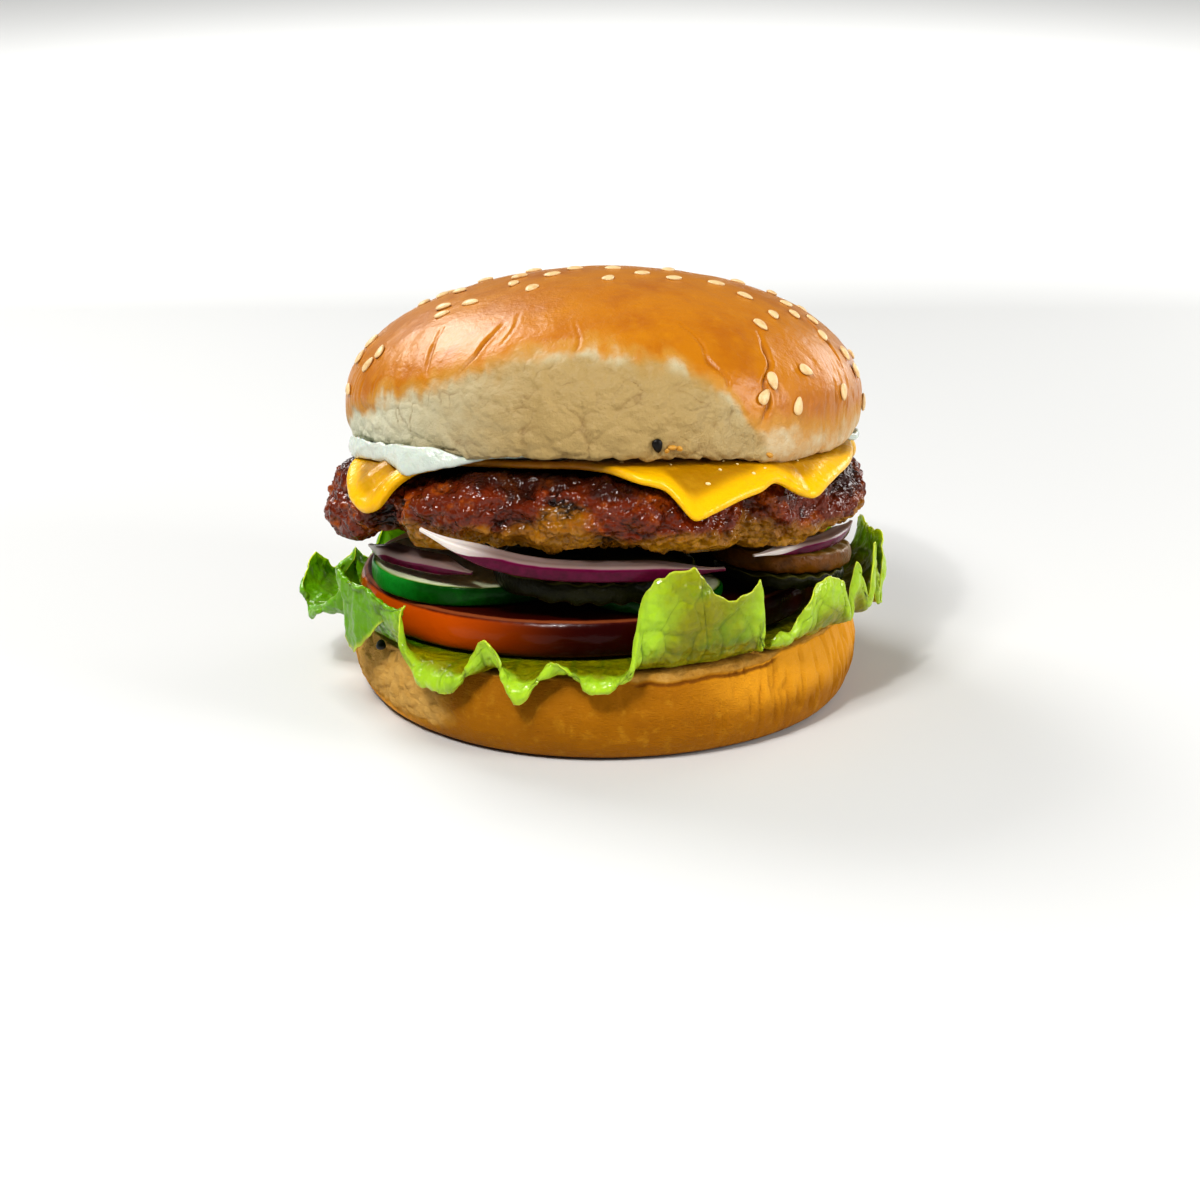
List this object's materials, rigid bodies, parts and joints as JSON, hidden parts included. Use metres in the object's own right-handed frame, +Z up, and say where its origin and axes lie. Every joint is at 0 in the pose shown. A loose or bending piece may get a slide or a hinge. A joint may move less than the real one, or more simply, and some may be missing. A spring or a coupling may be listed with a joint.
{
  "type": "cheeseburger",
  "caption": "Cheeseburger in a round sesame bun with a beef patty, melted cheese, mayonnaise, onion, pickles, cucumber, tomato and ruffled lettuce.",
  "frame": {"origin": "middle of the heel bun's flat foot, on the surface it rests on", "axes": "+Z up through the stack; the front that shows the torn side of the crown faces -Y; +X is to the right of that front"},
  "size_m": [0.115, 0.11, 0.083],
  "materials": {
    "bread": "baked bun crust with a light gloss, pale where torn or cut",
    "lettuce": "fresh lettuce, satin with a soft wet shine",
    "tomato": "wet tomato skin and flesh",
    "cucumber": "wet cucumber with dark green skin",
    "pickle": "wet pickled cucumber, olive to brown",
    "onion": "wet red onion, purple skin and white flesh",
    "beef": "grilled minced beef, browned crust with fat gloss",
    "cheese": "soft melted sliced cheese, satin",
    "mayonnaise": "thick white sauce, glossy"
  },
  "bodies": {
    "root": {"heel_bun": "bread", "crown_bun": "bread", "lettuce_leaf_front": "lettuce", "lettuce_leaf_right": "lettuce", "tomato_slice": "tomato", "cucumber_slice_left": "cucumber", "cucumber_slice_middle": "cucumber", "cucumber_slice_back": "cucumber", "pickle_slice_middle": "pickle", "pickle_slice_lower": "pickle", "pickle_slice_upper": "pickle", "onion_strip_front": "onion", "onion_strip_left": "onion", "onion_strip_right": "onion", "beef_patty": "beef", "cheese_slice": "cheese", "mayonnaise": "mayonnaise"}
  },
  "joints": []
}
